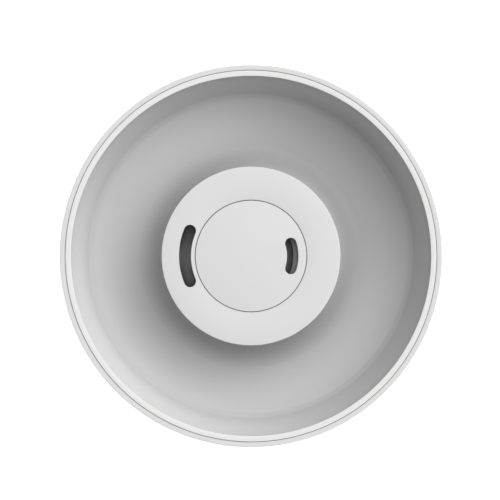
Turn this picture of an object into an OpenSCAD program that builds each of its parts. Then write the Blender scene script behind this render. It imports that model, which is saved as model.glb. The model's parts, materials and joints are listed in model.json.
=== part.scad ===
// Ceiling access point: a round wireless access point that hangs flat under a ceiling.
// The ceiling side faces +Z. The ceiling plane is z = 0 and everything hangs below it.
// Origin: where the axis of the round body meets the ceiling plane.
// Seen from the ceiling side, +X is to the right and +Y is up.
// All sizes in millimetres. Names end in _r radius, _d diameter, _w width, _h height,
// _t thickness and _z level.

/* [Body] */
// outside diameter of the front cover
body_d = 220; // [218:0.5:224]
// height from the ceiling plane to the middle of the front face
body_h = 64; // [64:0.5:68]
// wall thickness of the front cover at its rim
cover_rim_w = 3; // [2.8:0.1:3.2]
// thickness of the front cover's front face
cover_wall = 2.6; // [2.2:0.1:2.8]
// how far down the cover's side wall starts to round over
cover_side_h = 12; // [12:0.5:13]
// gap between cover and rear shell, the dark line round the rim
rim_seam = 0.25; // [0.2:0.05:0.4]

/* [Rear shell] */
// wall thickness of the rear shell
shell_wall = 2.4; // [2.2:0.1:2.6]
// inside radius of the flat lip at the rim, where the trough begins
lip_r = 103.5; // [103.2:0.1:103.8]
// depth of the trough at its lowest circle
trough_z = 44; // [44:0.1:44.3]
// radius of the crease at the bottom of the trough
crease_r = 65; // [64.5:0.5:65.5]
// radius of the hub's flat face
hub_r = 51.4; // [51:0.1:51.8]
// depth at which the hub's side wall meets the fillet
hub_wall_h = 20; // [20:0.1:21]

/* [Mounting plate] */
// radius of the round mounting plate
plate_r = 31.9; // [31.8:0.05:32]
// gap round the mounting plate, the dark line in the hub face
plate_seam = 0.4; // [0.2:0.05:0.4]
// thickness of the mounting plate
plate_t = 2.5; // [2.3:0.1:2.5]
// angle the body turns on the plate between locked and free
twist_angle = 25; // [20:1:30]
// number of bayonet lugs
lug_count = 3; // [3:1:3]

/* [Arc slots] */
// centreline radius of the cable slot in the hub face
hub_slot_r = 38; // [37.8:0.1:38.2]
// width of the cable slot in the hub face
hub_slot_w = 6.9; // [6.5:0.1:7]
// half angle of the hub slot between its end centres
hub_slot_half = 22.4; // [20:0.1:23]
// centreline radius of the cable slot in the mounting plate
plate_slot_r = 24; // [23.8:0.1:24.2]
// width of the cable slot in the mounting plate
plate_slot_w = 6.5; // [6.3:0.1:6.6]
// half angle of the plate slot between its end centres
plate_slot_half = 17.5; // [16:0.1:18]

/* [Ports] */
// direction of the network port seen from above
port_angle = -90; // [-92:1:-88]
// direction of the power port
power_angle = -62; // [-63:1:-61]
// direction of the reset button
reset_angle = -125; // [-126:1:-124]

/* [Boards] */
// radius of the main board
board_r = 80; // [78:0.5:80.5]
// depth of the top of the main board
board_z = 50; // [49.8:0.1:50.2]
// board thickness
board_t = 1.6; // [1.5:0.1:1.6]
// number of screws that hold the main board
board_screw_count = 6; // [6:1:6]

/* [View] */
// the piece to show

/* [Hidden] */
$fn = 120;
board_green = [0.1, 0.35, 0.2];
chip_black = [0.1, 0.1, 0.1];
steel = [0.7, 0.7, 0.72];
aerial_metal = [0.83, 0.8, 0.7];
clear_white = [0.9, 0.95, 1];

// rim and hub
body_r = body_d / 2;
cover_in_r = body_r - cover_rim_w;
cover_top_z = -0.3;
shell_r = cover_in_r - rim_seam;
lip_z = -1.6;
skirt_z = -9;
skirt_wall = 2.2;
hub_face_z = -0.2;
hub_face_t = 2.4;
hub_in_r = hub_r - 2.2;
groove_r = 104.5;
groove_w = 1.1;
snap_count = 8;

// socket for the mounting plate, and the bayonet
socket_r = plate_r + plate_seam;
socket_wall = 2;
socket_floor_z = -9;
socket_floor_t = 1.9;
ledge_r = 29.2;
ledge_top = -2.7;
ledge_bot = -5;
lug_r = 31.4;
lug_top = -5.1;
lug_bot = -7.8;
lug_angle = 60;
lug_half = 9;
collar_r = 29.1;
collar_in_r = 27.7;

// detent spring: middle radius of the leaf, centre radius of the bump, lower edge
spring_r = 30.8;
bump_r = spring_r - 0.6;
spring_z = -8.3;
spring_w = 2.6;

// cable well and duct
well_r = 24.4;
well_floor = -20;
well_wall = 2;
duct_w = 13;
duct_top = -11.6;

// ports and port board; the port axes are levels
port_board_top = -20;
port_board_t = 1.2;
port_edge_r = 48.4;
port_screw_r = 42;
jack_cavity_r = 37.2;
dc_bore_start = 39.6;
power_axis_z = -14;
reset_axis_z = -15;

// main board
board_bot = -board_z - board_t;
board_screw_r = 74;
processor_h = 1.8;
pad_t = 0.7;
sink_z = -board_z + processor_h + pad_t;
sink_w = 46;
sink_screw_offset = 19.5;
transformer_x = 36;
shield_y = 44;
shield_size = [40, 26];
shield_h = 2.2;
pipe_r = 2.5;

// ---------- shared shapes ----------
// pie slice between two angles, for cutting rings
module sector_2d(radius, from, to) {
    steps = 8;
    polygon(concat([[0, 0]],
        [for (i = [0:steps]) radius * polar(from + (to - from) * i / steps)]));
}

// part of a flat ring between two angles; reach is the cutting slice's radius
module ring_sector_2d(inner, outer, from, to, reach = 40) {
    intersection() {
        difference() {
            circle(r = outer);
            circle(r = inner);
        }
        sector_2d(reach, from, to);
    }
}

function polar(angle) = [cos(angle), sin(angle)];

// slot that follows a circle about the axis, with round ends, as one outline
module arc_slot_2d(radius, width, half, mid) {
    sides = 20;
    ends = 10;
    function side_angle(i) = mid - half + 2 * half * i / sides;
    function end_point(angle, turn) = radius * polar(angle) + width / 2 * polar(angle + turn);
    polygon(concat(
        [for (i = [0:sides]) (radius + width / 2) * polar(side_angle(i))],
        [for (i = [1:ends - 1]) end_point(mid + half, 180 * i / ends)],
        [for (i = [sides:-1:0]) (radius - width / 2) * polar(side_angle(i))],
        [for (i = [1:ends - 1]) end_point(mid - half, 180 + 180 * i / ends)]));
}

module ring(inner, outer, bottom, top) {
    translate([0, 0, bottom]) difference() {
        cylinder(r = outer, h = top - bottom);
        translate([0, 0, -1]) cylinder(r = inner, h = top - bottom + 2);
    }
}

// box centred on place in x and y, standing on its z
module box_at(place, size) {
    translate([place.x - size.x / 2, place.y - size.y / 2, place.z]) cube(size);
}

// box that starts at x and z and is centred on y = 0
module radial_box(x, z, size) {
    translate([x, -size.y / 2, z]) cube(size);
}

// rod along +X from x, at level z
module radial_rod(x, z, radius, length) {
    translate([x, 0, z]) rotate([0, 90, 0]) cylinder(r = radius, h = length);
}

// part turn of a profile, centred on an angle
module arc_extrude(mid, sweep) {
    rotate(mid - sweep / 2) rotate_extrude(angle = sweep) children();
}

// pan-head screw pointing up, head below z = 0
module screw(radius, head_r, head_h, length) {
    recess_w = 0.5;
    difference() {
        union() {
            cylinder(r = radius, h = length, $fn = 32);
            translate([0, 0, -head_h]) cylinder(r1 = head_r * 0.8, r2 = head_r, h = head_h, $fn = 40);
        }
        // cross recess
        for (size = [[head_r * 1.1, recess_w], [recess_w, head_r * 1.1]])
            box_at([0, 0, -head_h - 0.1], [size.x, size.y, head_h * 0.55]);
    }
}

// ---------- shared places ----------
module around(count, first = 0, place = [0, 0, 0]) {
    for (i = [0:count - 1]) rotate(first + i * 360 / count) translate(place) children();
}

module at_lugs(turn = 0) {
    around(lug_count, lug_angle + turn) children();
}

module at_board_screws(z) {
    around(board_screw_count, 30, [board_screw_r, 0, z]) children();
}

module at_port_screws(z) {
    for (angle = [-112, -46]) rotate(angle) translate([port_screw_r, 0, z]) children();
}

module at_plate_screws(z) {
    for (angle = [90, 180, 270]) rotate(angle) translate([17, 0, z]) children();
}

module at_sink_screws(z) {
    for (x = [-1, 1] * sink_screw_offset, y = [-1, 1] * sink_screw_offset)
        translate([x, y, z]) children();
}

// ---------- casing ----------
// point on the cover's rounded side, from the side wall (0) to the axis (90)
function cover_point(radius, depth, angle) =
    [radius * pow(cos(angle), 0.42), -cover_side_h - depth * pow(sin(angle), 0.8)];

module cover_profile() {
    steps = 22;
    depth = body_h - cover_side_h;
    polygon(concat(
        [[cover_in_r, cover_top_z], [body_r - 0.7, cover_top_z],
         [body_r - 0.2, cover_top_z - 0.2], [body_r, cover_top_z - 0.7]],
        [for (i = [0:steps - 1]) cover_point(body_r, depth, 90 * i / steps)],
        [[0, -body_h], [0, -body_h + cover_wall]],
        [for (i = [steps - 1:-1:0]) cover_point(cover_in_r, depth - cover_wall, 90 * i / steps)]));
}

module front_cover() {
    color([0.93, 0.93, 0.93]) difference() {
        union() {
            rotate_extrude() cover_profile();
            // ledge that the rear shell's skirt stands on
            rotate_extrude() translate([cover_in_r, 0])
                polygon([[0.2, skirt_z - 0.1], [-1.9, skirt_z - 0.1], [-1.9, -10], [0.2, -12]]);
            // snap hooks that reach into the skirt's windows
            around(snap_count) arc_extrude(0, 6) translate([cover_in_r, 0])
                polygon([[0.2, -5], [-0.2, -5], [-1.6, -6.6], [-1.6, -7.6], [0.2, -7.6]]);
        }
        // hole for the status light
        translate([0, 0, -body_h - 1]) cylinder(r = pipe_r + 0.06, h = cover_wall + 2, $fn = 48);
    }
}

// Points along the visible face of the trough are [radius, z, slope in degrees].
// arc from a point out to end_r while the slope changes to end_slope
function slope_arc(start, end_r, end_slope, steps, first = 0) =
    let (slope0 = start[2], arc_r = (end_r - start[0]) / (sin(end_slope) - sin(slope0)))
    [for (i = [first:steps]) let (slope = slope0 + (end_slope - slope0) * i / steps)
        [start[0] + arc_r * (sin(slope) - sin(slope0)),
         start[1] + arc_r * (cos(slope0) - cos(slope)), slope]];

// far end of a cone from a point out to end_r
function cone_end(start, end_r, slope) =
    [end_r, start[1] + (end_r - start[0]) * tan(slope), slope];

// an arc from the crease, two cones and a steeper arc up to the lip
crease_slope = 9;
bowl_steps = 14;
bowl_arc = slope_arc([crease_r, -trough_z, crease_slope], 91.5, 43.4, bowl_steps);
band1_end = cone_end(bowl_arc[bowl_steps], 94, 55);
band2_end = cone_end(band1_end, 101, 69);
bowl_points = concat(bowl_arc, [band1_end, band2_end],
    slope_arc(band2_end, lip_r, 74, 4, first = 1));

// quarter ellipse from the crease in and up to the hub wall
function fillet(start_z, width, height) =
    [for (angle = [0:10:90])
        [crease_r - width * sin(angle), start_z + height * (1 - cos(angle))]];
fillet_w = crease_r - (hub_r + 0.6);
fillet_h = trough_z - hub_wall_h;
fillet_outer = fillet(-trough_z, fillet_w, fillet_h);
fillet_inner = fillet(-trough_z - shell_wall, fillet_w + 2.6, fillet_h + 1.6);

module shell_profile() {
    overlap_r = crease_r + 0.01;
    // the trough's underside follows its face out to this radius
    under_end_r = 103;
    // trough wall, lip and skirt
    polygon(concat(
        [for (point = bowl_points) [point[0], point[1]]],
        [[lip_r, lip_z], [shell_r, lip_z], [shell_r, skirt_z], [shell_r - skirt_wall, skirt_z]],
        [for (i = [len(bowl_points) - 1:-1:0]) let (point = bowl_points[i])
            if (point[0] < under_end_r) [point[0], point[1] - shell_wall / cos(point[2])]]));
    // fillet, hub wall and hub face
    polygon(concat(
        [[overlap_r, -trough_z - shell_wall / cos(crease_slope)], [overlap_r, -trough_z]],
        fillet_outer,
        [[hub_r + 0.05, -1.3], [hub_r - 0.25, -0.65], [hub_r - 0.8, hub_face_z],
         [socket_r, hub_face_z], [socket_r, hub_face_z - hub_face_t],
         [hub_in_r, hub_face_z - hub_face_t]],
        [for (i = [9:-1:0]) fillet_inner[i]]));
    // socket wall, bayonet ledge and socket floor
    socket_bot = socket_floor_z - socket_floor_t;
    translate([socket_r, socket_bot]) square([socket_wall, 9]);
    translate([ledge_r, ledge_bot]) square([socket_r - ledge_r + 0.5, ledge_top - ledge_bot]);
    translate([well_r, socket_bot]) square([socket_r + socket_wall - well_r, socket_floor_t]);
    // cable well
    translate([well_r, well_floor - well_wall])
        square([well_wall, socket_floor_z - well_floor + 1]);
    translate([0, well_floor - well_wall]) square([well_r + well_wall, well_wall]);
}

module shell_solid() {
    // stops under the ledge that end the twist in the locked position
    at_lugs(-14) rotate_extrude(angle = 4.4) translate([ledge_r + 0.4, lug_bot + 0.4])
        square([socket_r - ledge_r + 0.4, ledge_bot - lug_bot + 0.4]);
    rotate_extrude() shell_profile();
    // two slotted posts that hold the detent spring's ends
    for (side = [-1, 1]) rotate(side * 16) translate([spring_r, 0, socket_floor_z - 0.5])
        cylinder(r = 1.1, h = 4, $fn = 32);
    // walls of the cable pocket under the hub slot
    translate([0, 0, well_floor - well_wall])
        linear_extrude(hub_face_z - 1 - well_floor + well_wall)
            arc_slot_2d(hub_slot_r, hub_slot_w + 3.6, hub_slot_half, 180);
    // cable duct from the well out to the hub wall
    radial_box(-hub_in_r - 1, well_floor - well_wall,
        [hub_in_r + 1 - well_r, duct_w + 2 * well_wall, duct_top - well_floor + 2 * well_wall]);
    // posts for the main board and the port board
    at_board_screws(-board_z) cylinder(r = 3.2, h = board_z - trough_z + 0.5, $fn = 48);
    at_port_screws(port_board_top) cylinder(r = 2.8, h = -port_board_top - 2, $fn = 48);
}

module rear_shell() {
    color([0.9, 0.9, 0.9]) difference() {
        union() shell_solid();
        // slot through the two posts for the detent spring
        arc_extrude(0, 34) translate([spring_r - 0.25, spring_z - 0.1]) square([0.5, 3.2]);
        // groove for the rim gasket's tongue
        rotate_extrude() translate([groove_r, lip_z - 2.3]) square([groove_w, 3]);
        // snap windows in the skirt
        around(snap_count) arc_extrude(0, 7.2) translate([shell_r - 2.6, -8]) square([3, 3.2]);
        // entry notches for the bayonet lugs
        at_lugs(twist_angle) translate([0, 0, ledge_bot - 0.1])
            linear_extrude(ledge_top - ledge_bot + 0.2)
                ring_sector_2d(ledge_r - 1, lug_r + 0.3, -lug_half - 1.5, lug_half + 1.5);
        // hub slot, cable pocket and duct
        translate([0, 0, well_floor]) linear_extrude(30)
            arc_slot_2d(hub_slot_r, hub_slot_w, hub_slot_half, 180);
        radial_box(-hub_r - 8, well_floor, [hub_r + 8 - 18, duct_w, duct_top - well_floor]);
        // network port window
        rotate(port_angle) radial_box(hub_in_r - 1.2, -18.6, [8, 12.6, 10.2]);
        // power port window
        rotate(power_angle) radial_rod(hub_in_r - 1, power_axis_z, 4.1, 8, $fn = 48);
        // reset button hole
        rotate(reset_angle) radial_rod(hub_in_r - 1, reset_axis_z, 1.7, 8, $fn = 40);
        // pilot holes
        at_board_screws(-board_z - 1) cylinder(r = 1.3, h = 6, $fn = 32);
        at_port_screws(port_board_top - 1) cylinder(r = 1.05, h = 8, $fn = 32);
    }
}

// flat ring on the lip with a tongue below it
module rim_gasket() {
    tongue_in = groove_r + 0.05;
    tongue_out = groove_r + groove_w - 0.05;
    tongue_z = lip_z - 2.1;
    color([0.97, 0.97, 0.96]) rotate_extrude() polygon([
        [lip_r + 0.1, lip_z], [lip_r + 0.1, -0.3], [lip_r + 0.2, -0.1], [lip_r + 0.4, 0],
        [shell_r - 0.2, 0], [shell_r - 0.06, -0.06], [shell_r, -0.2], [shell_r, lip_z],
        [tongue_out, lip_z], [tongue_out, tongue_z], [tongue_in, tongue_z], [tongue_in, lip_z]]);
}

module mount_plate() {
    color([0.88, 0.88, 0.88]) difference() {
        union() {
            rotate_extrude() polygon([
                [0, -plate_t], [0, 0], [plate_r - 0.2, 0], [plate_r, -0.2], [plate_r, -plate_t]]);
            ring(collar_in_r, collar_r, lug_bot, -plate_t + 0.5);
            at_lugs() translate([0, 0, lug_bot]) linear_extrude(lug_top - lug_bot)
                ring_sector_2d(collar_in_r + 0.7, lug_r, -lug_half, lug_half);
            // bosses under the three knock-out screw positions, and a stiffening ring
            at_plate_screws(-6) cylinder(r = 4.2, h = 4, $fn = 48);
            ring(8, 9.4, -5, -plate_t + 0.5);
        }
        translate([0, 0, -10]) linear_extrude(12)
            arc_slot_2d(plate_slot_r, plate_slot_w, plate_slot_half, 0);
        // notch in the collar for the detent spring's bump
        translate([bump_r, 0, lug_bot - 1]) cylinder(r = 1.6, h = 3.6, $fn = 40);
        // each screw position stops 0.6 mm short of the ceiling face
        at_plate_screws(-7) cylinder(r = 2.2, h = 6.4, $fn = 40);
    }
}

// leaf spring in the housing whose bump sits in the plate's notch when the body is locked
module detent_spring() {
    leaf_t = 0.4;
    bump_out_r = 1.3;
    color(steel) {
        for (side = [-1, 1]) arc_extrude(side * 9, 14.8)
            translate([spring_r - leaf_t / 2, spring_z]) square([leaf_t, spring_w]);
        translate([bump_r, 0, spring_z]) linear_extrude(spring_w) difference() {
            circle(r = bump_out_r);
            circle(r = bump_out_r - leaf_t);
            // opens the bump on its outer side
            translate([0.8, -3]) square([4, 6]);
        }
    }
}

// ---------- ports and reset button ----------
module reset_plunger() {
    color([0.75, 0.75, 0.75]) rotate(reset_angle) {
        radial_rod(46, reset_axis_z, 1.62, 5.6, $fn = 40);
        // collar
        radial_rod(47.9, reset_axis_z, 2.6, 0.8, $fn = 40);
    }
}

module reset_switch() {
    color([0.2, 0.2, 0.2]) rotate(reset_angle) difference() {
        radial_box(38.5, port_board_top, [5, 6, 8.2]);
        radial_rod(40.3, reset_axis_z, 1.75, 5, $fn = 40);
    }
}

module switch_stem() {
    color([0.85, 0.85, 0.8]) rotate(reset_angle)
        radial_rod(41, reset_axis_z, 1.68, 4.95, $fn = 40);
}

module port_board() {
    color(board_green) translate([0, 0, port_board_top - port_board_t]) difference() {
        linear_extrude(port_board_t) ring_sector_2d(30, port_edge_r, -138, -38, reach = 80);
        at_port_screws(-1) cylinder(r = 1.3, h = 4, $fn = 32);
    }
}

module ethernet_jack() {
    length = 13.5;
    color([0.75, 0.76, 0.78]) rotate(port_angle) difference() {
        radial_box(port_edge_r - length, port_board_top, [length, 15.8, 12.8]);
        // plug opening, and the narrower slot along its lower side
        radial_box(jack_cavity_r, -17.6, [14, 11.9, 7.4]);
        radial_box(39.5, -18.9, [14, 6.2, 2]);
    }
}

module ethernet_contacts() {
    pitch = 1.02;
    width = 0.4;
    thick = 0.3;
    top_z = -10.5;
    low_z = -14.4;
    color([0.85, 0.7, 0.3]) rotate(port_angle) for (i = [-3.5:1:3.5])
        translate([jack_cavity_r, i * pitch - width / 2, 0]) {
            translate([0, 0, top_z]) cube([9.5, width, thick]);
            // sloping finger and the upright behind it
            translate([0, 0, low_z]) rotate([0, -22, 0]) cube([6, width, thick]);
            translate([0, 0, low_z]) cube([0.35, width, 4]);
        }
}

module dc_jack() {
    length = 11.2;
    color([0.08, 0.08, 0.08]) rotate(power_angle) difference() {
        radial_box(port_edge_r - length, port_board_top, [length, 9, 10.8]);
        radial_rod(dc_bore_start, power_axis_z, 3.15, 12, $fn = 48);
    }
}

module dc_pin() {
    color([0.8, 0.8, 0.8]) rotate(power_angle)
        radial_rod(dc_bore_start, power_axis_z, 1, 8.4, $fn = 32);
}

// ---------- main board and what it carries ----------
module main_board() {
    color(board_green) translate([0, 0, board_bot]) difference() {
        cylinder(r = board_r, h = board_t);
        at_board_screws(-1) cylinder(r = 1.5, h = 4, $fn = 32);
        at_sink_screws(-1) cylinder(r = 1.4, h = 4, $fn = 32);
    }
}

// box on top of the main board; lift is the height above the board
module on_board(x, y, size, lift = 0) {
    box_at([x, y, -board_z + lift], size);
}

// rows of [x, y, size]
module chips(rows) {
    color(chip_black) for (row = rows) on_board(row[0], row[1], row[2]);
}

module board_connector() {
    y = -41;
    color([0.12, 0.12, 0.12]) difference() {
        on_board(0, y, [18, 5, board_z + port_board_top - port_board_t]);
        on_board(0, y, [15, 6, 4], lift = 4);
    }
}

module processor() {
    lid_lift = 0.5;
    color([0.12, 0.12, 0.13]) {
        on_board(0, 0, [21, 21, 0.6]);
        on_board(0, 0, [17, 17, processor_h - lid_lift], lift = lid_lift);
    }
}

module memory_chips() {
    chips([for (side = [-1, 1], row = [[5, [9, 7.5, 1.1]], [-7, [8, 6, 1]]])
        [side * 16.5, row[0], row[1]]]);
}

module thermal_pads() {
    color([0.55, 0.65, 0.75]) on_board(0, 0, [17, 17, pad_t], lift = processor_h);
}

module heat_sink() {
    fin_pitch = 4.8;
    color([0.72, 0.73, 0.75]) difference() {
        union() {
            box_at([0, 0, sink_z], [sink_w, sink_w, 2]);
            for (i = [-4.5:1:4.5]) on_board(i * fin_pitch, 0, [1.3, sink_w, 7.6], lift = 4);
            at_sink_screws(-board_z) cylinder(r = 2.6, h = 3, $fn = 40);
        }
        at_sink_screws(-board_z - 1) cylinder(r = 1.3, h = 5, $fn = 32);
    }
}

module heat_sink_screws() {
    color(steel) at_sink_screws(board_bot)
        screw(radius = 1.2, head_r = 2.4, head_h = 1.4, length = 5);
}

module board_screws() {
    color(steel) at_board_screws(board_bot)
        screw(radius = 1.22, head_r = 2.5, head_h = 1.5, length = 6);
}

module port_board_screws() {
    color(steel) at_port_screws(port_board_top - port_board_t)
        screw(radius = 0.98, head_r = 2, head_h = 1.3, length = 6);
}

module poe_transformer() {
    color([0.15, 0.15, 0.15]) difference() {
        on_board(transformer_x, 0, [15, 14, 11]);
        // window for the winding, and a channel across the top
        on_board(transformer_x, 0, [11, 20, 6], lift = 2.5);
        on_board(transformer_x, 0, [16, 9, 4], lift = 8);
    }
}

module transformer_winding() {
    color([0.85, 0.75, 0.3]) difference() {
        on_board(transformer_x, 0, [10.8, 11, 5.3], lift = 2.6);
        on_board(transformer_x, 0, [4, 12, 2], lift = 6.6);
    }
}

module bulk_capacitors() {
    color([0.2, 0.25, 0.35]) for (place = [[0, 36], [13, 34], [-13, 34]])
        translate([place.x, place.y, -board_z]) {
            cylinder(r = 5, h = 11.2, $fn = 64);
            translate([0, 0, 11]) cylinder(r = 4.3, h = 0.6, $fn = 64);
        }
}

module power_inductors() {
    color([0.3, 0.3, 0.32]) for (y = [-9, 9]) translate([-36, y, -board_z]) {
        box_at([0, 0, 0], [9, 9, 1]);
        cylinder(r = 4, h = 4.5, $fn = 48);
    }
}

module power_chips() {
    chips([[33, 17, [6, 5, 1]], [33, -17, [7, 7, 0.9]], [-33, 22, [5, 5, 0.9]]]);
}

// under the main board, inside the shields
module radio_chips() {
    // [x, distance of y from 0, size]
    rows = [[-9, shield_y, [11, 11, 1]],
            [9, shield_y + 5, [6, 6, 0.9]],
            [9, shield_y - 5, [6, 6, 0.9]]];
    color(chip_black) for (side = [-1, 1], row = rows)
        box_at([row[0], side * row[1], board_bot - row[2].z], row[2]);
}

// box at a shield's place, larger than the frame by grow, from drop below the board
module shield_box(side, grow, drop, height) {
    box_at([0, side * shield_y, board_bot - drop],
        [shield_size.x + grow, shield_size.y + grow, height]);
}

module shield_frames() {
    color([0.75, 0.75, 0.76]) for (side = [-1, 1]) difference() {
        shield_box(side, grow = 0, drop = shield_h, height = shield_h);
        shield_box(side, grow = -0.8, drop = 3, height = 4);
    }
}

module shield_lids() {
    color([0.8, 0.8, 0.81]) for (side = [-1, 1]) difference() {
        shield_box(side, grow = 0.8, drop = shield_h + 0.4, height = 2.2);
        shield_box(side, grow = 0.1, drop = shield_h, height = 3);
        // grid of round holes
        for (x = [-15:5:15], y = [-8:4:8]) translate([x, side * shield_y + y, board_bot - 3])
            cylinder(r = 0.7, h = 1.2, $fn = 16);
    }
}

// bent sheet-metal aerial: two uprights, a low cross bar and a strip bent out at its lower edge
module antenna(width, height) {
    sheet = 0.5;
    leg_w = 1.4;
    translate([-width / 2, -sheet / 2, -height]) {
        cube([width, sheet, 2]);
        cube([leg_w, sheet, height]);
        translate([4.5, 0, 0]) cube([leg_w, sheet, height]);
        cube([width, 4, sheet]);
    }
}

module antennas_low_band() {
    color(aerial_metal) around(3, 0, [68, 0, board_bot]) rotate(-90) antenna(26, 5.6);
}

module antennas_high_band() {
    color(aerial_metal) around(3, 60, [69, 0, board_bot]) rotate(-90) antenna(14, 4.6);
}

module status_led() {
    color(clear_white) {
        box_at([0, 0, board_bot - 0.5], [3, 3, 0.5]);
        translate([0, 0, board_bot - 1.1]) cylinder(r = 1.1, h = 0.7, $fn = 32);
    }
}

module light_pipe() {
    color(clear_white) {
        translate([0, 0, -body_h]) cylinder(r = pipe_r, h = body_h + board_bot - 1.4, $fn = 48);
        // flange just inside the cover's front face
        translate([0, 0, -body_h + cover_wall + 0.05]) cylinder(r = 4, h = 1.2, $fn = 48);
    }
}

front_cover();
rear_shell();
rim_gasket();
mount_plate();
detent_spring();
reset_plunger();
reset_switch();
switch_stem();
port_board();
ethernet_jack();
ethernet_contacts();
dc_jack();
dc_pin();
main_board();
board_connector();
processor();
memory_chips();
thermal_pads();
heat_sink();
heat_sink_screws();
board_screws();
port_board_screws();
poe_transformer();
transformer_winding();
bulk_capacitors();
power_inductors();
power_chips();
radio_chips();
shield_frames();
shield_lids();
antennas_low_band();
antennas_high_band();
status_led();
light_pipe();
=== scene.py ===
# Looks for a round ceiling access point: a domed front cover, a dished rear shell with a
# central hub, a rim gasket and a mounting plate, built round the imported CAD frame.
# The axis is Z, +Z is the ceiling side and the ceiling plane is z = 0, so the body hangs
# below it. The scene is in metres; shape sizes are in mm, and angles in degrees from +X.
import json
import math
import bpy
import bmesh
from mathutils import Matrix, Vector


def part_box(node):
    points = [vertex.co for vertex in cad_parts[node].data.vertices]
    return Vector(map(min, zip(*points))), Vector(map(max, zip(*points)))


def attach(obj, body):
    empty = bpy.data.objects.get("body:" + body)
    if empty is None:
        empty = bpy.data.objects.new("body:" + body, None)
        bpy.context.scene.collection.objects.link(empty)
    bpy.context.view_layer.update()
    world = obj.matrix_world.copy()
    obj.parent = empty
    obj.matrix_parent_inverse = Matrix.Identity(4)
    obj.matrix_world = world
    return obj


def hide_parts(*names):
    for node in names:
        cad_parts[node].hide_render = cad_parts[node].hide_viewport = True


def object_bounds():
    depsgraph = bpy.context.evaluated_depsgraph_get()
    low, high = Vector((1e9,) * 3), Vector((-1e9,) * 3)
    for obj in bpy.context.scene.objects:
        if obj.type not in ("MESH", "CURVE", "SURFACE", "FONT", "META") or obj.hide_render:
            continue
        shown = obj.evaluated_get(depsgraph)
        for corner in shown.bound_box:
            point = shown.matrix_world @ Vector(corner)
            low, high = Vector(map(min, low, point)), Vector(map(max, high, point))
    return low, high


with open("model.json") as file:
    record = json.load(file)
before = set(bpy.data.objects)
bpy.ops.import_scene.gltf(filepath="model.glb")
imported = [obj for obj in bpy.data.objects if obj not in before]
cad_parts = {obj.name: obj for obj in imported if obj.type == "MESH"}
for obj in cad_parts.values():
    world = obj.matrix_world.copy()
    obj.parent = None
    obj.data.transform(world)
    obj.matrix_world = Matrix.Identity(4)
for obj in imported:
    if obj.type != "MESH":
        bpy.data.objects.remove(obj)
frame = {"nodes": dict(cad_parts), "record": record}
BOUNDS_BEFORE = [list(v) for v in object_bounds()]
MM = 0.001


def sin(degrees):
    return math.sin(math.radians(degrees))


def cos(degrees):
    return math.cos(math.radians(degrees))


def tan(degrees):
    return math.tan(math.radians(degrees))


# ------------------------------------------------------------------ shared sizes
def box_mm(name):
    """Low and high corners of a CAD piece."""
    return [[c / MM for c in corner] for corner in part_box(name)]


COVER_LOW, (BODY_R, _, COVER_TOP) = box_mm("front_cover")
BODY_H = -COVER_LOW[2]
SHELL_R, _, HUB_Z = box_mm("rear_shell")[1]
GASKET_TOP = box_mm("rim_gasket")[1][2]
PLATE_R = box_mm("mount_plate")[1][0]
COVER_IN_R = BODY_R - 3.0

SNAP_ANGLES = range(0, 360, 45)     # hooks in the cover and windows in the shell
LUG_ANGLES = (60, 180, 300)         # lugs of the mounting plate
CREASE_R = 65.0                     # where the bowl of the shell meets the flare of the hub
LIP_R, LIP_Z = 103.5, -1.6          # top edge of the bowl
GROOVE_IN, GROOVE_OUT = 104.5, 105.6    # groove in the rim that takes the gasket's rib
MOUTH_R = 0.16                      # rounding where a curved slot meets its face


# ------------------------------------------------------------------ outlines
def round_poly(points, steps=5):
    """Closed outline of (r, z) or (r, z, fillet radius), with the fillets turned into arcs."""
    out = []
    for i, point in enumerate(points):
        fillet = point[2] if len(point) > 2 else 0
        corner = Vector(point[:2])
        back = Vector(points[i - 1][:2]) - corner
        ahead = Vector(points[(i + 1) % len(points)][:2]) - corner
        back_len, ahead_len = back.length, ahead.length
        if fillet <= 0 or min(back_len, ahead_len) < 1e-6:
            out.append(point[:2])
            continue
        back.normalize()
        ahead.normalize()
        angle = back.angle(ahead)
        if angle > math.radians(176):
            out.append(point[:2])
            continue
        # a fillet may take just under half of each side
        setback = min(fillet / math.tan(angle / 2), back_len * 0.48, ahead_len * 0.48)
        radius = setback * math.tan(angle / 2)
        centre = corner + (back + ahead).normalized() * (radius / math.sin(angle / 2))
        first = corner + back * setback - centre
        last = corner + ahead * setback - centre
        sweep = first.angle_signed(last)
        for k in range(steps + 1):
            spoke = first.copy()
            spoke.rotate(Matrix.Rotation(-sweep * k / steps, 2))
            out.append((centre.x + spoke.x, centre.y + spoke.y))
    return out


def drop_repeats(profile, eps=1e-4):
    def same(p, q):
        return abs(p[0] - q[0]) <= eps and abs(p[1] - q[1]) <= eps

    out = []
    for point in profile:
        if not out or not same(point, out[-1]):
            out.append(point)
    if len(out) > 1 and same(out[0], out[-1]):
        out.pop()
    return out


def circle(radius, count):
    return [(radius * cos(360 * i / count), radius * sin(360 * i / count))
            for i in range(count)]


def rounded_rect(width, height, radius, steps=6):
    radius = min(radius, width / 2 - 1e-3, height / 2 - 1e-3)
    x, y = width / 2 - radius, height / 2 - radius
    out = []
    for cx, cy, start in ((x, y, 0), (-x, y, 90), (-x, -y, 180), (x, -y, 270)):
        for k in range(steps + 1):
            angle = start + 90 * k / steps
            out.append((cx + radius * cos(angle), cy + radius * sin(angle)))
    return out


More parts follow.
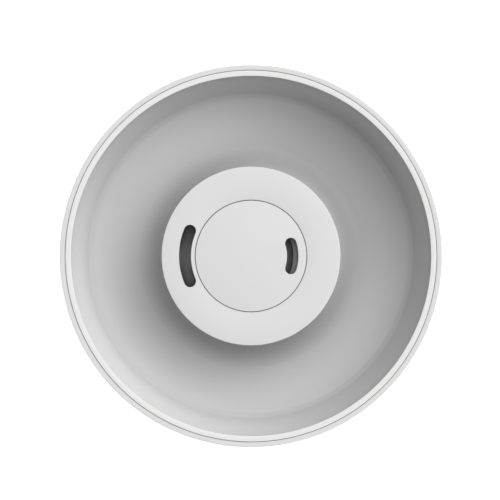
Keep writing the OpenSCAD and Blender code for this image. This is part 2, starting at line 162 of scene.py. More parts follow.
def arc_slot(radius, width, half, mid, side_steps=40, end_steps=16):
    """Slot that follows a circle about the axis for half an angle each way, with round ends."""
    out = []
    for side in (1, -1):
        edge = radius + side * width / 2
        for i in range(side_steps + 1):
            step = i if side == 1 else side_steps - i
            angle = mid - half + 2 * half * step / side_steps
            out.append((edge * cos(angle), edge * sin(angle)))
        end = mid + side * half
        for i in range(1, end_steps):
            turn = end + (0 if side == 1 else 180) + 180 * i / end_steps
            out.append((radius * cos(end) + width / 2 * cos(turn),
                        radius * sin(end) + width / 2 * sin(turn)))
    return out


# ------------------------------------------------------------------ solids
def lathe(profile, seg, start=0.0, end=360.0):
    """Revolves a closed profile of (r, z) about Z. Points on the axis become single vertices."""
    profile = drop_repeats(profile)
    bm = bmesh.new()
    full = abs(end - start - 360) < 1e-6
    columns = seg if full else seg + 1
    rings = []
    for r, z in profile:
        if r < 1e-6:
            rings.append([bm.verts.new((0, 0, z * MM))] * columns)
            continue
        angles = [start + (end - start) * i / seg for i in range(columns)]
        rings.append([bm.verts.new((r * cos(a) * MM, r * sin(a) * MM, z * MM)) for a in angles])
    for j, ring in enumerate(rings):
        after = rings[(j + 1) % len(rings)]
        for i in range(seg):
            k = (i + 1) % columns
            corners = list(dict.fromkeys((ring[i], ring[k], after[k], after[i])))
            if len(corners) >= 3:
                bm.faces.new(corners)
    if not full:
        for i in (0, columns - 1):
            bm.faces.new(list(dict.fromkeys(ring[i] for ring in rings)))
    bmesh.ops.recalc_face_normals(bm, faces=bm.faces)
    return bm


def loft(loops):
    """Closed, capped skin through loops of metre points, all of one length."""
    bm = bmesh.new()
    rings = [[bm.verts.new(p) for p in loop] for loop in loops]
    count = len(loops[0])
    for low, high in zip(rings, rings[1:]):
        for i in range(count):
            k = (i + 1) % count
            bm.faces.new((low[i], low[k], high[k], high[i]))
    bm.faces.new(list(reversed(rings[0])))
    bm.faces.new(rings[-1])
    bmesh.ops.recalc_face_normals(bm, faces=bm.faces)
    return bm


def level(outline, z):
    """Lays an (x, y) outline at height z."""
    return [Vector((x * MM, y * MM, z * MM)) for x, y in outline]


def prism(outline, z_low, z_high):
    return loft([level(outline, z_low), level(outline, z_high)])


def peg(ring_r, angle, radius, count, z_low, z_high):
    """Upright cylinder whose centre lies on a circle about the axis."""
    cx, cy = ring_r * cos(angle), ring_r * sin(angle)
    return prism([(cx + x, cy + y) for x, y in circle(radius, count)], z_low, z_high)


def arc_block(r_in, r_out, z_low, z_high, seg, start, end):
    """Rectangular section swept round part of a circle."""
    section = [(r_in, z_low), (r_out, z_low), (r_out, z_high), (r_in, z_high)]
    return lathe(section, seg, start, end)


def slot_cutter(radius, width, half, mid, z_low, z_face, rounding=MOUTH_R, steps=5):
    """Cutter for a curved slot that leaves a rounded edge where it meets the face."""
    stations = [(z_low, 0.0), (z_face - rounding, 0.0)]     # height, growth of the outline
    # the arc stops at 78 degrees, so that no ring lies in the plane of the face
    for k in range(1, steps + 1):
        turn = 78 * k / steps
        stations.append((z_face - rounding + rounding * sin(turn), rounding * (1 - cos(turn))))
    stations.append((z_face + 0.6, rounding + 0.25))
    return loft([level(arc_slot(radius, width + 2 * grow, half, mid), z)
                 for z, grow in stations])


def side_cutter(outline, angle, height, stations):
    """Cutter that runs outwards at an angle. outline(growth) gives (across, up) points;
    stations are (distance from the axis, growth)."""
    return loft([[Vector(((distance * cos(angle) - u * sin(angle)) * MM,
                          (distance * sin(angle) + u * cos(angle)) * MM,
                          (height + v) * MM)) for u, v in outline(grow)]
                 for distance, grow in stations])


# ------------------------------------------------------------------ objects
def shade(bm, sharp=28.0):
    """Smooth faces, with sharp edges above an angle and at open borders."""
    for face in bm.faces:
        face.smooth = True
    for edge in bm.edges:
        edge.smooth = not (len(edge.link_faces) != 2
                           or edge.calc_face_angle(0) > math.radians(sharp))


def add_object(name, bm):
    shade(bm)
    mesh = bpy.data.meshes.new(name)
    bm.to_mesh(mesh)
    bm.free()
    obj = bpy.data.objects.new(name, mesh)
    bpy.context.scene.collection.objects.link(obj)
    return obj


def join(parts):
    out = bmesh.new()
    for part in parts:
        mesh = bpy.data.meshes.new("tmp")
        part.to_mesh(mesh)
        part.free()
        out.from_mesh(mesh)
        bpy.data.meshes.remove(mesh)
    return out


def add_and_cut(obj, added, cut):
    """Adds solids to an object one after another, then cuts others away, with exact booleans."""
    tools = []
    for operation, solids in (("UNION", added), ("DIFFERENCE", cut)):
        for bm in solids:
            tool = add_object("tool_%s_%d" % (obj.name, len(tools)), bm)
            mod = obj.modifiers.new("b%d" % len(tools), "BOOLEAN")
            mod.operation = operation
            mod.solver = "EXACT"
            mod.object = tool
            tools.append(tool)
    bpy.context.view_layer.update()
    depsgraph = bpy.context.evaluated_depsgraph_get()
    mesh = bpy.data.meshes.new_from_object(obj.evaluated_get(depsgraph))
    obj.modifiers.clear()
    old = obj.data
    obj.data = mesh
    bpy.data.meshes.remove(old)
    for tool in tools:
        tool_mesh = tool.data
        bpy.data.objects.remove(tool)
        bpy.data.meshes.remove(tool_mesh)
    bm = bmesh.new()
    bm.from_mesh(mesh)
    bmesh.ops.remove_doubles(bm, verts=bm.verts, dist=2e-6)
    bmesh.ops.dissolve_degenerate(bm, edges=bm.edges, dist=1e-6)
    shade(bm)
    bm.to_mesh(mesh)
    bm.free()


# ------------------------------------------------------------------ shader helpers
def add_node(tree, kind, inputs=None, **settings):
    """New shader node. Each input is given a value, or a socket to link from."""
    node = tree.nodes.new("ShaderNode" + kind)
    for name, value in settings.items():
        setattr(node, name, value)
    for socket, value in (inputs or {}).items():
        if isinstance(value, bpy.types.NodeSocket):
            tree.links.new(value, node.inputs[socket])
        else:
            node.inputs[socket].default_value = value
    return node


def add_mix(tree, factor, first, second, blend="MIX"):
    """Colour mix; its result is outputs[2]."""
    inputs = {0: factor, 6: first, 7: second}
    return add_node(tree, "Mix", inputs, data_type="RGBA", blend_type=blend)


def add_math(tree, operation, a, b):
    return add_node(tree, "Math", {0: a, 1: b}, operation=operation).outputs[0]


def new_material(name):
    """Material, its node tree and its Principled node."""
    material = bpy.data.materials.new(name)
    material.use_nodes = True
    return material, material.node_tree, material.node_tree.nodes["Principled BSDF"]


def grey(tone):
    return (tone, tone, tone)


# ------------------------------------------------------------------ layers of a material
def paint_close_shade(tree, colour, reach, strength):
    """Painted shade: darkens the colour where another wall stands within reach (metres)."""
    occlusion = add_node(tree, "AmbientOcclusion", {"Distance": reach}, samples=12)
    return add_mix(tree, strength, colour, occlusion.outputs["Color"], blend="MULTIPLY")


def paint_seam_shade(tree, coords, colour, reach, strength, above=None):
    """Paints shade into narrow gaps, turning them dark. With above, the painted shade fades out
    over 2 mm below that height, so that a floor just below isn't taken for a gap."""
    mix = paint_close_shade(tree, colour, reach, strength)
    if above is not None:
        position = add_node(tree, "SeparateXYZ", {0: coords})
        fade = add_node(tree, "MapRange", {
            "From Min": above - 0.002, "From Max": above, "To Max": strength,
            "Value": position.outputs["Z"]})
        tree.links.new(fade.outputs["Result"], mix.inputs[0])
    return mix


def paint_zone_shade(tree, coords, colour, radius, tone):
    """Painted shade: a darker zone inside a circle round the axis, fading out towards the hub's
    face.
    """
    flat = add_node(tree, "VectorMath", {0: coords, 1: (1, 1, 0)}, operation="MULTIPLY")
    length = add_node(tree, "VectorMath", {0: flat.outputs["Vector"]}, operation="LENGTH")
    edge = add_node(tree, "MapRange", {
        "From Min": radius - 0.0001, "From Max": radius + 0.0001,
        "To Min": 1.0, "To Max": 0.0, "Value": length.outputs["Value"]})
    position = add_node(tree, "SeparateXYZ", {0: coords})
    depth = add_node(tree, "MapRange", {
        "From Min": -0.020, "From Max": -0.002,
        "To Min": 1.0, "To Max": 0.0, "Value": position.outputs["Z"]})
    shade_mask = add_math(tree, "MULTIPLY", edge.outputs["Result"], depth.outputs["Result"])
    return add_mix(tree, shade_mask, colour, (*grey(tone), 1), blend="MULTIPLY")


GRAIN_SCALE = 5200.0        # fine noise that drives roughness and bump
BUMP_DISTANCE = 2e-5        # metres


def make_material(name, base, rough, mottle=None, metallic=0.0, specular=0.5, tone_scale=60.0,
                  bump=0.06, coat=0.0, ior=1.5, transmission=0.0, glow=None, glow_strength=0.0,
                  stretch=None, bounce=1.0, painted_crevice_shade=None, painted_seam_shade=None, painted_zone_shade=None):
    """base and mottle are the two mixed colours, rough is the roughness range, stretch scales
    the noise on each axis, and bounce is how much colour diffuse rays see."""
    material, tree, principled = new_material(name)
    coords = noise_coords = add_node(tree, "TexCoord").outputs["Object"]
    if stretch:
        noise_coords = add_node(tree, "Mapping", {
            "Scale": stretch, "Vector": coords}).outputs["Vector"]
    tone = add_node(tree, "TexNoise", {
        "Scale": tone_scale, "Detail": 4.0, "Vector": noise_coords})
    grain = add_node(tree, "TexNoise", {
        "Scale": GRAIN_SCALE, "Detail": 3.0, "Roughness": 0.6, "Vector": noise_coords})
    mottle = mottle or tuple(c * 0.97 for c in base)
    colour = add_mix(tree, tone.outputs["Fac"], (*base, 1), (*mottle, 1)).outputs[2]
    # painted shade: darker where another wall stands close
    if painted_crevice_shade:
        colour = paint_close_shade(tree, colour, **painted_crevice_shade).outputs[2]
    # painted shade: dark narrow gaps between parts
    if painted_seam_shade:
        colour = paint_seam_shade(tree, coords, colour, **painted_seam_shade).outputs[2]
    # painted shade: darker inside the crease circle, most at depth
    if painted_zone_shade:
        colour = paint_zone_shade(tree, coords, colour, **painted_zone_shade).outputs[2]
    if bounce < 1.0:
        # bounced light is passed on more weakly, which keeps hollows from washing out
        path = add_node(tree, "LightPath")
        colour = add_mix(tree, path.outputs["Is Diffuse Ray"], colour,
                         (*(c * bounce for c in base), 1)).outputs[2]
    tree.links.new(colour, principled.inputs["Base Color"])
    roughness = add_node(tree, "MapRange", {
        "From Min": 0.3, "From Max": 0.7, "To Min": rough[0], "To Max": rough[1],
        "Value": grain.outputs["Fac"]})
    tree.links.new(roughness.outputs["Result"], principled.inputs["Roughness"])
    relief = add_node(tree, "Bump", {
        "Strength": bump, "Distance": BUMP_DISTANCE, "Height": grain.outputs["Fac"]})
    tree.links.new(relief.outputs["Normal"], principled.inputs["Normal"])
    for socket, value in (("Metallic", metallic), ("Specular IOR Level", specular),
                          ("IOR", ior), ("Coat Weight", coat),
                          ("Transmission Weight", transmission)):
        principled.inputs[socket].default_value = value
    if glow:
        principled.inputs["Emission Color"].default_value = (*glow, 1)
        principled.inputs["Emission Strength"].default_value = glow_strength
    return material


def make_board_material(name):
    """Green solder mask: a brick pattern makes the tracks, and spots in cells make the vias."""
    material = make_material(name, base=(0.012, 0.105, 0.04), mottle=(0.016, 0.13, 0.05),
                             rough=(0.25, 0.35), tone_scale=30.0, coat=0.3, bump=0.05)
    tree = material.node_tree
    base_input = tree.nodes["Principled BSDF"].inputs["Base Color"]
    mask = base_input.links[0].from_socket
    coords = add_node(tree, "TexCoord").outputs["Object"]
    bricks = add_node(tree, "TexBrick", {
        "Scale": 210.0, "Mortar Size": 0.035, "Color1": (0, 0, 0, 1),
        "Color2": (0.1, 0.1, 0.1, 1), "Mortar": (1, 1, 1, 1), "Vector": coords})
    cells = add_node(tree, "TexVoronoi", {"Scale": 320.0, "Vector": coords})
    spots = add_math(tree, "LESS_THAN", cells.outputs["Distance"], 0.16)
    tracks = add_mix(tree, bricks.outputs["Fac"], mask, (0.03, 0.2, 0.08, 1))
    vias = add_mix(tree, spots, tracks.outputs[2], (0.4, 0.38, 0.28, 1))
    tree.links.new(vias.outputs[2], base_input)
    return material


# ------------------------------------------------------------------ materials
WHITE = 0.74        # tone of the white plastics
BOUNCE = 0.2
BLUE_WHITE = (0.75, 0.87, 1.0)
LOOKS = {
    # painted shade in its narrow gaps, kept off the lower part near the floor
    "cover_white": dict(
        base=grey(WHITE), mottle=grey(WHITE * 0.985), rough=(0.42, 0.52), bounce=BOUNCE,
        painted_seam_shade=dict(reach=0.0015, strength=0.95, above=-0.016)),
    # painted shade: darker near walls, in narrow gaps and inside the crease circle
    "shell_white": dict(
        base=grey(WHITE * 0.99), mottle=grey(WHITE * 0.975), rough=(0.46, 0.56),
        bounce=BOUNCE, painted_crevice_shade=dict(reach=0.018, strength=0.62),
        painted_seam_shade=dict(reach=0.004, strength=0.9), painted_zone_shade=dict(radius=CREASE_R * MM, tone=0.935)),
    # painted shade in its narrow gaps
    "plate_white": dict(
        base=grey(WHITE * 0.99), mottle=grey(WHITE * 0.975), rough=(0.46, 0.56),
        bounce=BOUNCE, painted_seam_shade=dict(reach=0.004, strength=0.9)),
    # painted shade in its narrow gaps
    "silicone_white": dict(
        base=(WHITE * 1.12, WHITE * 1.12, WHITE * 1.11),
        mottle=(WHITE * 1.1, WHITE * 1.1, WHITE * 1.09), rough=(0.5, 0.62),
        specular=0.35, bump=0.03, bounce=BOUNCE, painted_seam_shade=dict(reach=0.0015, strength=0.9)),
    "button_grey": dict(base=(0.34, 0.34, 0.35), rough=(0.35, 0.45)),
    "stem_ivory": dict(base=(0.62, 0.58, 0.46), rough=(0.35, 0.45)),
    "black_plastic": dict(
        base=(0.022, 0.022, 0.024), mottle=(0.03, 0.03, 0.031), rough=(0.38, 0.5), bump=0.15),
    "chip_black": dict(
        base=(0.018, 0.018, 0.02), mottle=(0.028, 0.028, 0.03), rough=(0.5, 0.62), bump=0.2),
    "tinned_steel": dict(
        base=(0.56, 0.56, 0.54), mottle=(0.66, 0.66, 0.64), rough=(0.25, 0.42),
        metallic=1.0, bump=0.08, stretch=(1, 1, 0.15)),
    "nickel_plate": dict(
        base=(0.66, 0.64, 0.6), rough=(0.15, 0.25), metallic=1.0, bump=0.03),
    "gold_plate": dict(
        base=(0.83, 0.6, 0.22), mottle=(0.9, 0.68, 0.3), rough=(0.18, 0.28),
        metallic=1.0, bump=0.03),
    "thermal_pad": dict(base=(0.2, 0.33, 0.44), rough=(0.7, 0.8), bump=0.3),
    "cast_aluminium": dict(
        base=(0.6, 0.6, 0.61), mottle=(0.68, 0.68, 0.69), rough=(0.3, 0.45),
        metallic=1.0, bump=0.12, stretch=(1, 0.08, 1)),
    "screw_steel": dict(
        base=(0.5, 0.5, 0.52), mottle=(0.62, 0.62, 0.64), rough=(0.22, 0.35),
        metallic=1.0, bump=0.05),
    "spring_steel": dict(
        base=(0.55, 0.55, 0.57), mottle=(0.64, 0.64, 0.66), rough=(0.16, 0.28),
        metallic=1.0, bump=0.04, stretch=(1, 1, 0.1)),
    "ferrite_black": dict(
        base=(0.03, 0.03, 0.033), mottle=(0.045, 0.045, 0.048), rough=(0.45, 0.6), bump=0.3),
    "winding_yellow": dict(
        base=(0.62, 0.42, 0.05), mottle=(0.7, 0.5, 0.08), rough=(0.2, 0.3), bump=0.05),
    "capacitor_sleeve": dict(
        base=(0.03, 0.045, 0.1), mottle=(0.04, 0.055, 0.12), rough=(0.22, 0.32), bump=0.03),
    "led_white": dict(
        base=(0.85, 0.87, 0.9), rough=(0.2, 0.3), glow=BLUE_WHITE, glow_strength=1.5),
    "clear_acrylic": dict(
        base=(0.9, 0.94, 0.97), rough=(0.12, 0.2), transmission=0.6, ior=1.49, bump=0.01,
        glow=BLUE_WHITE, glow_strength=0.25),
}
MATERIALS = {name: make_material(name, **look) for name, look in LOOKS.items()}
MATERIALS["board_green"] = make_board_material("board_green")


def set_material(obj, key):
    obj.data.materials.clear()
    obj.data.materials.append(MATERIALS[key])


def place(obj, key, body, replaced):
    set_material(obj, key)
    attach(obj, body)
    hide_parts(replaced)


# ------------------------------------------------------------------ front cover
SIDE_DEPTH = 12.0           # the dome starts this far below the ceiling
FACE_THICK = 2.6
FACE_HOLE_R = 2.56          # hole in the middle of the face
DOME_STEPS = 72


def dome(radius, depth, turn):
    """Point of the dome's section, from its side at turn = 0 to the axis at 90."""
    return (radius * cos(turn) ** 0.42, -SIDE_DEPTH - (depth - SIDE_DEPTH) * sin(turn) ** 0.8)


def cover_profile():
    # steps are closer together near the side, where the curve bends
    turns = [90 * (i / DOME_STEPS) ** 1.15 for i in range(DOME_STEPS)]
    inner_depth = BODY_H - FACE_THICK
    outer = [dome(BODY_R, BODY_H, turn) for turn in turns]
    inner = [dome(COVER_IN_R, inner_depth, turn) for turn in reversed(turns)]
    ledge_r = COVER_IN_R - 1.9
    return round_poly(
        [(COVER_IN_R, COVER_TOP, 0.05), (BODY_R, COVER_TOP, 0.3)]
        + [p for p in outer if p[0] > FACE_HOLE_R + 0.6]
        + [(FACE_HOLE_R, -BODY_H, 0.18), (FACE_HOLE_R, -inner_depth, 0.15)]
        + [p for p in inner if p[0] > FACE_HOLE_R + 0.6]
        # ledge round the inside of the wall
        + [(COVER_IN_R, -11.9), (ledge_r, -10.0, 0.3), (ledge_r, -9.1, 0.2),
           (COVER_IN_R, -9.1)])


def build_cover():
    root_r, tip_r = COVER_IN_R + 0.2, COVER_IN_R - 1.6
    hook = round_poly([(root_r, -5), (COVER_IN_R - 0.2, -5), (tip_r, -6.6, 0.2),
                       (tip_r, -7.6, 0.15), (root_r, -7.6)])
    hooks = [lathe(hook, seg=8, start=a - 3, end=a + 3) for a in SNAP_ANGLES]
    cover = add_object("front_cover_skin", join([lathe(cover_profile(), seg=288)] + hooks))
    place(cover, "cover_white", "housing", "front_cover")


build_cover()

# ------------------------------------------------------------------ rear shell
TROUGH = 44.0                       # depth of the bowl at the crease
SKIN = 2.4                          # wall thickness
HUB_R = 51.4
HUB_IN_R = HUB_R - 2.2
SOCKET_R = PLATE_R + 0.4            # recess that takes the mounting plate
CUP_R = 24.4                        # cup in the middle of the socket
CUP_FLOOR = -22                     # its underside
# the bowl rises as an arc between two slopes, then as a straight band, a steeper one and a lip
ARC_START, ARC_END = 9.0, 43.4      # slopes of the arc
ARC_END_R = 91.5
BAND_SLOPE, STEEP_SLOPE, LIP_SLOPE = 55.0, 69.0, 74.0
BAND_END_R, STEEP_END_R = 94, 101
ARC_STEPS, LIP_STEPS = 44, 10
FLARE_FOOT_R = CREASE_R - (HUB_R + 0.6)     # half axes of the flare between crease and hub
FLARE_RISE = TROUGH - 20.0

HUB_SLOT = dict(radius=38.0, half=22.4, mid=180)    # curved slot in the hub face, on -X
BOSS_RING_R = 74
BOSS_ANGLES = range(30, 360, 60)
DUCT_ANGLE = 180                    # rounded duct out through the hub wall, on -X
# stations of the cutters through the hub wall: distance from the axis, growth
DUCT = [(18, 0), (51.3, 0), (51.75, 0.12), (52.0, 0.35), (53, 0.9), (60, 0.9)]
WINDOW = [(46, 0), (51.0, 0), (51.5, 0.12), (51.9, 0.4), (52.4, 0.9), (56, 0.9)]
LARGE_HOLE = [(46, 0), (51.2, 0), (51.6, 0.12), (51.9, 0.4), (52.4, 0.9), (56, 0.9)]
SMALL_HOLE = [(46, 0), (51.45, 0), (51.75, 0.12), (52.0, 0.4), (56, 0.6)]


def bowl():
    """Upper side of the bowl, from the crease to the lip: (r, z, slope)."""
    arc_r = (ARC_END_R - CREASE_R) / (sin(ARC_END) - sin(ARC_START))
    arc_top = -TROUGH + arc_r * (cos(ARC_START) - cos(ARC_END))
    out = []
    for i in range(ARC_STEPS + 1):
        slope = ARC_START + (ARC_END - ARC_START) * i / ARC_STEPS
        out.append((CREASE_R + arc_r * (sin(slope) - sin(ARC_START)),
                    -TROUGH + arc_r * (cos(ARC_START) - cos(slope)), slope))
    for r in (92.2, 93.3):
        out.append((r, arc_top + (r - ARC_END_R) * tan(BAND_SLOPE), BAND_SLOPE))
    # soft break of slope where the steeper band begins
    band_top = arc_top + (BAND_END_R - ARC_END_R) * tan(BAND_SLOPE)
    steep_top = band_top + (STEEP_END_R - BAND_END_R) * tan(STEEP_SLOPE)
    out += [(BAND_END_R, band_top + 0.03, (BAND_SLOPE + STEEP_SLOPE) / 2),
            (94.8, band_top + 0.8 * tan(STEEP_SLOPE), STEEP_SLOPE),
            (STEEP_END_R, steep_top, STEEP_SLOPE)]
    lip_arc_r = (LIP_R - STEEP_END_R) / (sin(STEEP_SLOPE) - sin(LIP_SLOPE))
    for i in range(1, LIP_STEPS + 1):
        slope = STEEP_SLOPE - (STEEP_SLOPE - LIP_SLOPE) * i / LIP_STEPS
        out.append((STEEP_END_R + lip_arc_r * (sin(STEEP_SLOPE) - sin(slope)),
                    steep_top + lip_arc_r * (cos(slope) - cos(STEEP_SLOPE)), slope))
    return out


def hub_flare(steps, foot_r, rise, z_low):
    """Quarter ellipse from the crease up to the hub wall."""
    turns = [90 * i / steps for i in range(steps + 1)]
    return [(CREASE_R - foot_r * sin(t), z_low + rise * (1 - cos(t))) for t in turns]


def shell_profile():
    upper = bowl()
    outer_flare = hub_flare(24, FLARE_FOOT_R, FLARE_RISE, -TROUGH)
    inner_flare = hub_flare(16, FLARE_FOOT_R + 2.6, FLARE_RISE + 1.6, -TROUGH - SKIN)
    points = [(r, z) for r, z, _ in upper]
    # lip, gasket groove and rim
    points += [
        (LIP_R, LIP_Z, 0.1), (GROOVE_IN, LIP_Z, 0.1), (GROOVE_IN, LIP_Z - 2.3),
        (GROOVE_OUT, LIP_Z - 2.3), (GROOVE_OUT, LIP_Z, 0.1), (SHELL_R, LIP_Z, 0.2),
        (SHELL_R, -9, 0.2), (SHELL_R - 2.2, -9, 0.2)]
    # back down under the bowl
    points += [(r, z - SKIN / cos(slope)) for r, z, slope in reversed(upper) if r < 103]
    points += inner_flare
    # inside of the hub, then the underside and top of the cup
    points += [
        (HUB_IN_R, HUB_Z - SKIN, 0.6), (SOCKET_R + 2, HUB_Z - SKIN), (SOCKET_R + 2, -10.9),
        (CUP_R + 2, -10.9), (CUP_R + 2, CUP_FLOOR), (0, CUP_FLOOR), (0, -20),
        (CUP_R, -20, 0.8), (CUP_R, -9, 0.3)]
    # socket with its inward flange, then the edge of the hub face
    points += [
        (SOCKET_R, -9, 0.4), (SOCKET_R, -5), (29.2, -5, 0.15), (29.2, -2.7, 0.15),
        (SOCKET_R, -2.7, 0.1), (SOCKET_R, HUB_Z, 0.05),
        (HUB_R + 0.02, HUB_Z, 0.3), (HUB_R + 0.05, -1.4)]
    points += reversed(outer_flare[1:])
    return round_poly(points)


def shell_additions():
    # housing of the hub slot, and the block of the duct
    yield prism(arc_slot(width=10.5, **HUB_SLOT), -22, HUB_Z - 1.0)
    near, far = -(CUP_R + 1.0), -50.2
    yield prism([(far, -8.5), (near, -8.5), (near, 8.5), (far, 8.5)], -22.001, -9.6)
    for angle in BOSS_ANGLES:
        yield peg(BOSS_RING_R, angle, 3.2, 24, -50, -43.5)
    for angle in (-112, -46):
        yield peg(42, angle, 2.8, 24, -20, -2.0)
    # small blocks in the socket
    for angle in LUG_ANGLES:
        yield arc_block(29.6, 32.65, -7.4, -4.6, 6, angle - 14, angle - 14 + 4.4)
    # posts that hold the detent spring
    for angle in (-16, 16):
        yield peg(30.8, angle, 1.1, 18, -9.5, -5.5)


def shell_cuts():
    # slot for the spring through its posts
    yield arc_block(30.55, 31.05, -8.4, -5.2, 24, -17, 17)
    # entry notches for the lugs
    for angle in LUG_ANGLES:
        mid = angle + 25
        yield arc_block(28.2, 31.7, -5.1, -2.6, 12, mid - 10.5, mid + 10.5)
    # snap windows
    for a in SNAP_ANGLES:
        yield arc_block(SHELL_R - 2.6, SHELL_R + 0.4, -8, -4.8, 6, a - 3.6, a + 3.6)
    yield slot_cutter(width=6.9, z_low=-20, z_face=HUB_Z, **HUB_SLOT)
    # duct, rounded window and two round holes through the hub wall
    yield side_cutter(lambda grow: rounded_rect(13 + 2 * grow, 8.4 + 2 * grow, 1.0 + grow),
                      DUCT_ANGLE, -15.8, DUCT)
    yield side_cutter(lambda grow: rounded_rect(12.6 + 2 * grow, 10.2 + 2 * grow, 0.8 + grow),
                      -90, -13.5, WINDOW)
    yield side_cutter(lambda grow: circle(4.1 + grow, 48), -62, -14, LARGE_HOLE)
    yield side_cutter(lambda grow: circle(1.7 + grow, 32), -125, -15, SMALL_HOLE)
    # bores of the bosses
    for angle in BOSS_ANGLES:
        yield peg(BOSS_RING_R, angle, 1.3, 18, -51, -45)


def build_shell():
    shell = add_object("rear_shell_skin", lathe(shell_profile(), seg=288))
    add_and_cut(shell, shell_additions(), shell_cuts())
    place(shell, "shell_white", "housing", "rear_shell")


build_shell()


# ------------------------------------------------------------------ rim gasket
def build_gasket():
    """Flat ring on the rim with a rib in the groove."""
    play = 0.05
    ring_in = LIP_R + play
    rib_in, rib_out, rib_z = GROOVE_IN + play, GROOVE_OUT - play, LIP_Z - 2.1
    profile = round_poly([
        (ring_in, LIP_Z), (ring_in, GASKET_TOP, 0.3), (SHELL_R, GASKET_TOP, 0.06),
        (SHELL_R, LIP_Z, 0.1), (rib_out, LIP_Z), (rib_out, rib_z, 0.3),
        (rib_in, rib_z, 0.3), (rib_in, LIP_Z)])
    gasket = add_object("rim_gasket_skin", lathe(profile, seg=288))
    place(gasket, "silicone_white", "housing", "rim_gasket")


build_gasket()

# ------------------------------------------------------------------ mounting plate
PLATE_BACK = -2.5           # underside of the disc
COLLAR_Z = -7.8             # lower edge of the collar and its lugs
PLATE_BOSS_RING_R = 17
PLATE_BOSS_ANGLES = (90, 180, 270)


def build_plate():
    # disc with a small ring and an outer collar below it
    profile = round_poly([
        (0, PLATE_BACK), (8, PLATE_BACK, 0.2), (8, -5, 0.2), (9.4, -5, 0.2),
        (9.4, PLATE_BACK, 0.2), (27.7, PLATE_BACK, 0.3), (27.7, COLLAR_Z, 0.2),
        (29.1, COLLAR_Z, 0.2), (29.1, PLATE_BACK), (PLATE_R, PLATE_BACK, 0.15),
        (PLATE_R, 0, 0.05), (0, 0)])
    lug = round_poly([(28.4, COLLAR_Z), (31.4, COLLAR_Z, 0.2), (31.4, -5.1, 0.2),
                      (28.4, -5.1)])
    plate = add_object("mount_plate_skin", lathe(profile, seg=288))
    added = [lathe(lug, seg=12, start=a - 9, end=a + 9) for a in LUG_ANGLES]
    added += [peg(PLATE_BOSS_RING_R, a, 4.2, 36, -6, -2.0) for a in PLATE_BOSS_ANGLES]
    cut = [peg(PLATE_BOSS_RING_R, a, 2.2, 36, -7, -0.6) for a in PLATE_BOSS_ANGLES]
    cut.append(peg(30.2, 0, 1.6, 36, -8.8, -5.2))
    cut.append(slot_cutter(radius=24.0, width=6.5, half=17.5, mid=0, z_low=-10, z_face=0.0))
    add_and_cut(plate, added, cut)
    place(plate, "plate_white", "ceiling_plate", "mount_plate")


build_plate()

# ------------------------------------------------------------------ remaining CAD pieces
REPLACED = {"front_cover", "rear_shell", "rim_gasket", "mount_plate"}
EDGE_WIDTH = {
    "ethernet_jack": 0.2, "dc_jack": 0.25, "heat_sink": 0.12, "main_board": 0.08,
    "port_board": 0.08, "ethernet_contacts": 0.06, "detent_spring": 0.04}
OTHER_EDGE_WIDTH = 0.1


def soften(obj, width):
    """Rounds the edges finely."""
    weld = obj.modifiers.new("weld", "WELD")
    weld.merge_threshold = 1e-6
    bevel = obj.modifiers.new("edge", "BEVEL")
    bevel.width = width * MM
    bevel.segments = 2
    bevel.limit_method = "ANGLE"
    bevel.angle_limit = math.radians(40)


def finish_cad_pieces():
    """What isn't replaced keeps its CAD shape."""
    slots = {part["node"]: part["material_slot"] for part in frame["record"]["subparts"]}
    for name, obj in frame["nodes"].items():
        if name not in REPLACED:
            set_material(obj, slots[name])
            soften(obj, EDGE_WIDTH.get(name, OTHER_EDGE_WIDTH))


finish_cad_pieces()

# ------------------------------------------------------------------ floor
FLOOR_GAP = 0.2         # below the lowest point of the CAD pieces


def floor_material():
    material, tree, principled = new_material("floor_pale")
    noise = add_node(tree, "TexNoise", {"Scale": 3.0})
    colour = add_mix(tree, noise.outputs["Fac"], (*grey(0.9), 1), (*grey(0.88), 1))
    tree.links.new(colour.outputs[2], principled.inputs["Base Color"])
    principled.inputs["Roughness"].default_value = 0.9
    principled.inputs["Specular IOR Level"].default_value = 0.1
    principled.inputs["Emission Color"].default_value = (1, 1, 1, 1)
    # the camera sees a clean white floor, while the object gets only a soft glow from it
    path = add_node(tree, "LightPath")
    glow = add_node(tree, "MapRange", {
        "To Min": 0.55, "To Max": 0.8, "Value": path.outputs["Is Camera Ray"]})
    tree.links.new(glow.outputs["Result"], principled.inputs["Emission Strength"])
    # seen from below the floor is clear, so that the front of the object shows
    geometry = add_node(tree, "NewGeometry")
    clear = add_node(tree, "BsdfTransparent")
    side = add_node(tree, "MixShader", {
        0: geometry.outputs["Backfacing"], 1: principled.outputs[0], 2: clear.outputs[0]})
    tree.links.new(side.outputs[0], tree.nodes["Material Output"].inputs["Surface"])
    return material


def build_floor():
    bm = bmesh.new()
    bmesh.ops.create_grid(bm, x_segments=4, y_segments=4, size=8.0)
    floor = add_object("floor", bm)
    floor.location = (0, 0, BOUNDS_BEFORE[0][2] - FLOOR_GAP * MM)
    floor.data.materials.append(floor_material())


build_floor()

# ------------------------------------------------------------------ studio sky
SKY_GAIN = 1.02
SKY_BASE = 0.0          # even light under the patches
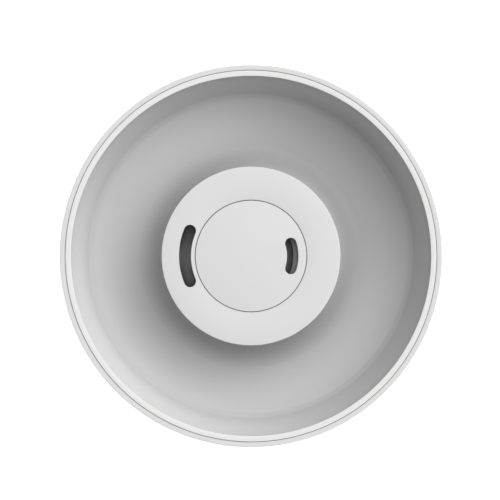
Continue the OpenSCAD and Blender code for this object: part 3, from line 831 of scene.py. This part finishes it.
# soft patches of light: strength, azimuth, elevation, tightness
SKY_PATCHES = [
    (0.5033, 83, 15, 12), (1.1136, 223, 15, 12), (3.4419, 43, 35, 12),
    (1.3392, 83, 35, 12), (2.194, 3, 35, 12), (0.2297, -37, 35, 12),
    (0.7724, 133, 65, 12), (0.1325, -47, 65, 12), (1.3743, 0, 90, 12)]


def build_sky():
    world = bpy.data.worlds.new("studio")
    bpy.context.scene.world = world
    world.use_nodes = True
    tree = world.node_tree
    background = tree.nodes["Background"]
    direction = add_node(tree, "TexCoord").outputs["Generated"]
    total = SKY_BASE
    for strength, azimuth, elevation, tightness in SKY_PATCHES:
        towards = (cos(elevation) * cos(azimuth), cos(elevation) * sin(azimuth),
                   sin(elevation))
        dot = add_node(tree, "VectorMath", {0: direction, 1: towards},
                       operation="DOT_PRODUCT")
        facing = add_math(tree, "MAXIMUM", dot.outputs["Value"], 0.0)
        patch = add_math(tree, "POWER", facing, tightness)
        patch = add_math(tree, "MULTIPLY", patch, strength)
        # the base goes second in the first sum
        pair = (patch, total) if total is SKY_BASE else (total, patch)
        total = add_math(tree, "ADD", *pair)
    strength = add_math(tree, "MULTIPLY", total, SKY_GAIN)
    tree.links.new(strength, background.inputs["Strength"])
    background.inputs["Color"].default_value = (1, 1, 1, 1)


build_sky()

# ------------------------------------------------------------------ camera
VIEW_WIDTH = 1.3071895 * 2 * BODY_R     # seen at the ceiling plane, in proportion to the body
CAMERA_X, CAMERA_Y = -0.575163, 3.45098


def build_camera():
    """Long lens that looks straight down at the ceiling side."""
    data = bpy.data.cameras.new("camera")
    data.sensor_width = 36.0
    data.lens = 350.0
    data.clip_end = 50.0
    camera = bpy.data.objects.new("camera", data)
    distance = VIEW_WIDTH * data.lens / data.sensor_width
    camera.location = (CAMERA_X * MM, CAMERA_Y * MM, distance * MM)
    scene = bpy.context.scene
    scene.collection.objects.link(camera)
    scene.camera = camera
    scene.view_settings.view_transform = "Standard"
    scene.view_settings.look = "None"


build_camera()
